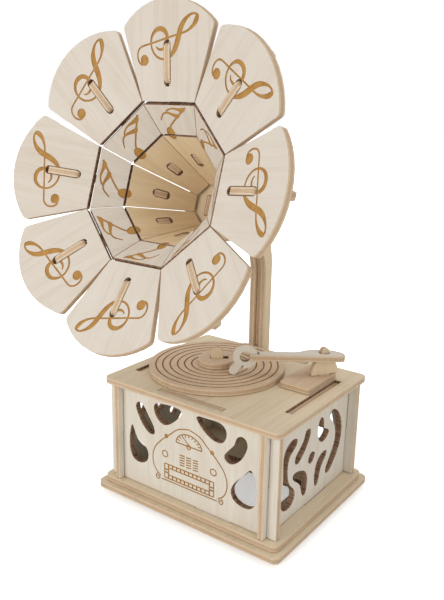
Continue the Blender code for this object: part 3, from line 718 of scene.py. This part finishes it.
def draw_scroll(shape, plate, x, y, side, width, depth):
    """A small curl at the foot of the dome."""
    line = []
    for i in range(12):
        turn = math.radians(40 * i)
        radius = 0.35 + 0.17 * turn
        line.append((x + side * radius * math.cos(turn), y + radius * math.sin(turn), width))
    add_band(shape, plate, line, depth + 0.02 * MM)


def draw_grille(shape, plate, mid, width, depth):
    """Three groups of short bars over each other."""
    columns, half, lowest, step = GRILLE
    for column in columns:
        for row in range(5):
            x, y = mid + column, lowest + step * row
            add_line(shape, plate, [(x - half, y), (x + half, y + 0.3)], width, depth)


def draw_board(shape, plate, mid, width, depth):
    """A blank name board: two frames with short rungs between them."""
    outer, inner = BOARD
    for wide, low, high in BOARD:
        left, right = mid - wide, mid + wide
        corners = [(left, low), (left, high), (right, high), (right, low), (left, low)]
        for i, (start, end) in enumerate(zip(corners, corners[1:])):
            add_line(shape, plate, [start, end], width, depth + 0.015 * i * MM)
    rungs = 10
    for i in range(rungs + 1):
        x = mid - inner[0] + 2 * inner[0] * i / rungs
        for low, high in ((outer[1], inner[1]), (inner[2], outer[2])):
            add_line(shape, plate, [(x, low), (x, high)], 1.3 * width, depth + 0.07 * MM)
    for side in (-1, 1):
        for y in (inner[1] + 1.0, inner[2] - 1.0):
            ends = [(mid + side * inner[0], y), (mid + side * outer[0], y)]
            add_line(shape, plate, ends, 1.3 * width, depth + 0.07 * MM)


def draw_grooves(shape, plate):
    sizes = bpy.context.scene.jigsaw_plates
    middle = plate.height / MM / 2
    for radius in GROOVES:
        add_ring(shape, plate, 0, middle, radius, sizes.groove_width, sizes.groove)


class MakeCabinet(bpy.types.Operator):
    """Dresses the base plates, the pierced panels and the lid"""

    bl_idname = "jigsaw.make_cabinet"
    bl_label = "Cabinet"

    def execute(self, context):
        up, level = (0, 0, 1), (0, 1, 0)
        for node in ("base_lower", "base_upper", "lid"):
            dress(node, level, up, "deck", "stand")
        dress("panel_front", up, (0, -1, 0), "panel", "stand", draw_radio_front)
        others = {"panel_back": (0, 1, 0), "panel_right": (1, 0, 0), "panel_left": (-1, 0, 0)}
        for node, face in others.items():
            dress(node, up, face, "panel", "stand")
        return {"FINISHED"}


class MakeTurntable(bpy.types.Operator):
    """Dresses the grooved record, its label and the spindle"""

    bl_idname = "jigsaw.make_turntable"
    bl_label = "Turntable"

    def execute(self, context):
        up, level = (0, 0, 1), (0, 1, 0)
        dress("record", level, up, "record", "turntable", draw_grooves)
        dress("label", level, up, "record", "turntable")
        dress("spindle", up, (0, -1, 0), "frame", "turntable")
        return {"FINISHED"}


class MakeToneArm(bpy.types.Operator):
    """Dresses the tone arm, its sound head, its post and the platform under it"""

    bl_idname = "jigsaw.make_tone_arm"
    bl_label = "Tone arm"

    def execute(self, context):
        up, level = (0, 0, 1), (0, 1, 0)
        dress("arm_platform", level, up, "record", "stand")
        dress("arm_post", up, (0, -1, 0), "frame", "stand")
        dress("tone_arm", (1, 0.7, 0), up, "panel", "tone_arm")
        dress("sound_head", up, (0, -1, 0), "panel", "tone_arm")
        return {"FINISHED"}


class MakeHorn(bpy.types.Operator):
    """Dresses the horn's petals and its two inner rings of panels"""

    bl_idname = "jigsaw.make_horn"
    bl_label = "Horn"

    def execute(self, context):
        _, forward = horn_axis()
        for k in SECTORS:
            petal, middle, inner = f"horn_petal_{k}", f"horn_middle_{k}", f"horn_inner_{k}"
            out = outwards(petal)
            dress(petal, out, forward, "horn", "stand", draw_clef, 1)
            dress(middle, out, forward, "horn", "stand", draw_note, 2)
            # painted shade: the inner panels take the darker, warmer throat colour
            dress(inner, out + forward, forward, "shaded_throat", "stand", draw_note_head, 2)
        return {"FINISHED"}


class MakeHornFrame(bpy.types.Operator):
    """Dresses the ribs behind the horn, the collar and the three layers of the neck"""

    bl_idname = "jigsaw.make_horn_frame"
    bl_label = "Ribs, collar and neck"

    def execute(self, context):
        _, forward = horn_axis()
        for k in SECTORS:
            out = outwards(f"horn_petal_{k}")
            dress(f"horn_rib_{k}", out, out.cross(forward), "frame", "stand")
        dress("horn_collar", (0, 0, 1), forward, "frame", "stand")
        for node in ("neck_left", "neck_middle", "neck_right"):
            dress(node, (0, 0, 1), (1, 0, 0), "frame", "stand")
        return {"FINISHED"}


def add_area_light(name, power, size, place, target):
    light = bpy.data.lights.new(name, "AREA")
    light.energy, light.size = power, size
    lamp = bpy.data.objects.new(name, light)
    bpy.context.scene.collection.objects.link(lamp)
    lamp.location = place
    lamp.rotation_euler = (Vector(target) - Vector(place)).to_track_quat("-Z", "Y").to_euler()


def add_camera(settings):
    """A camera at eye level for a shelf, in front of the model and to its right."""
    yaw, pitch, roll = (math.radians(turn) for turn in (YAW, PITCH, ROLL))
    ahead = Vector((-math.sin(yaw) * math.cos(pitch), math.cos(yaw) * math.cos(pitch), -math.sin(pitch)))
    right = ahead.cross(Vector((0, 0, 1))).normalized()
    up = right.cross(ahead)
    side = right * math.cos(roll) + up * math.sin(roll)
    top = up * math.cos(roll) - right * math.sin(roll)
    data = bpy.data.cameras.new("camera")
    data.sensor_fit, data.sensor_height, data.lens = "VERTICAL", 36, settings.lens
    camera = bpy.data.objects.new("camera", data)
    bpy.context.scene.collection.objects.link(camera)
    turn = Matrix((side, top, -ahead)).transposed().to_4x4()
    camera.matrix_world = Matrix.Translation(EYE) @ turn
    bpy.context.scene.camera = camera


class MakeStage(bpy.types.Operator):
    """Lays the floor and sets the lights and the camera"""

    bl_idname = "jigsaw.make_stage"
    bl_label = "Stage"

    def execute(self, context):
        settings = context.scene.jigsaw_stage
        shape = bmesh.new()
        bmesh.ops.create_grid(shape, x_segments=1, y_segments=1, size=4)
        mesh = bpy.data.meshes.new("floor")
        shape.to_mesh(mesh)
        shape.free()
        paper = bpy.data.materials.new("floor_paper")
        paper.use_nodes = True
        shader = paper.node_tree.nodes["Principled BSDF"]
        shader.inputs["Base Color"].default_value = (*settings.floor, 1)
        shader.inputs["Roughness"].default_value = 0.9
        shader.inputs["Specular IOR Level"].default_value = 0.1
        tree = Tree(paper.node_tree)
        seen = tree.add("LightPath").outputs["Is Camera Ray"]
        flat = tree.add("SeparateXYZ")
        tree.feed(flat.inputs[0], tree.add("TexCoord").outputs["Object"])
        squares = [tree.math("POWER", flat.outputs[axis], 2.0) for axis in range(2)]
        away = tree.math("ADD", *squares)
        fade = tree.spread(away, 0.01, 0.05, settings.floor_glow, 1.0)
        shader.inputs["Emission Color"].default_value = (1, 1, 1, 1)
        tree.feed(shader.inputs["Emission Strength"], tree.math("MULTIPLY", seen, fade))
        mesh.materials.append(paper)
        floor = bpy.data.objects.new("floor", mesh)
        context.scene.collection.objects.link(floor)
        world = bpy.data.worlds.new("soft_studio")
        world.use_nodes = True
        sky = world.node_tree.nodes["Background"]
        sky.inputs["Color"].default_value = (1, 1, 1, 1)
        backdrop = Tree(world.node_tree)
        seen = backdrop.add("LightPath").outputs["Is Camera Ray"]
        backdrop.feed(sky.inputs["Strength"], backdrop.spread(seen, 0.0, 1.0, settings.world, 1.0))
        context.scene.world = world
        add_area_light("key", settings.key, 0.5, KEY_PLACE, (0, 0, 0.12))
        add_area_light("fill", settings.fill, 0.6, FILL_PLACE, (0, 0, 0.1))
        add_area_light("top", settings.top, 0.6, TOP_PLACE, (0, 0, 0))
        add_camera(settings)
        context.scene.view_settings.view_transform = "Standard"
        return {"FINISHED"}


OPERATORS = (MakeCabinet, MakeTurntable, MakeToneArm, MakeHorn, MakeHornFrame, MakeStage)


class JigsawPanel(bpy.types.Panel):
    """Lists the steps that dress the model"""

    bl_idname = "VIEW3D_PT_jigsaw"
    bl_label = "Plywood gramophone"
    bl_space_type = "VIEW_3D"
    bl_region_type = "UI"
    bl_category = "Jigsaw"

    def draw(self, context):
        scene = context.scene
        for group in (scene.jigsaw_plates, scene.jigsaw_colours, scene.jigsaw_stage):
            column = self.layout.column()
            for name in group.bl_rna.properties.keys():
                if name not in ("rna_type", "name"):
                    column.prop(group, name)
        for operator in OPERATORS:
            self.layout.operator(operator.bl_idname)


CLASSES = (WoodColours, PlateSizes, StageSettings, *OPERATORS, JigsawPanel)


def register():
    for thing in CLASSES:
        bpy.utils.register_class(thing)
    bpy.types.Scene.jigsaw_colours = PointerProperty(type=WoodColours)
    bpy.types.Scene.jigsaw_plates = PointerProperty(type=PlateSizes)
    bpy.types.Scene.jigsaw_stage = PointerProperty(type=StageSettings)


def unregister():
    del bpy.types.Scene.jigsaw_stage
    del bpy.types.Scene.jigsaw_plates
    del bpy.types.Scene.jigsaw_colours
    for thing in reversed(CLASSES):
        bpy.utils.unregister_class(thing)


def main():
    register()
    bpy.ops.jigsaw.make_stage()
    bpy.ops.jigsaw.make_cabinet()
    bpy.ops.jigsaw.make_turntable()
    bpy.ops.jigsaw.make_tone_arm()
    bpy.ops.jigsaw.make_horn()
    bpy.ops.jigsaw.make_horn_frame()


if __name__ == "__main__":
    main()
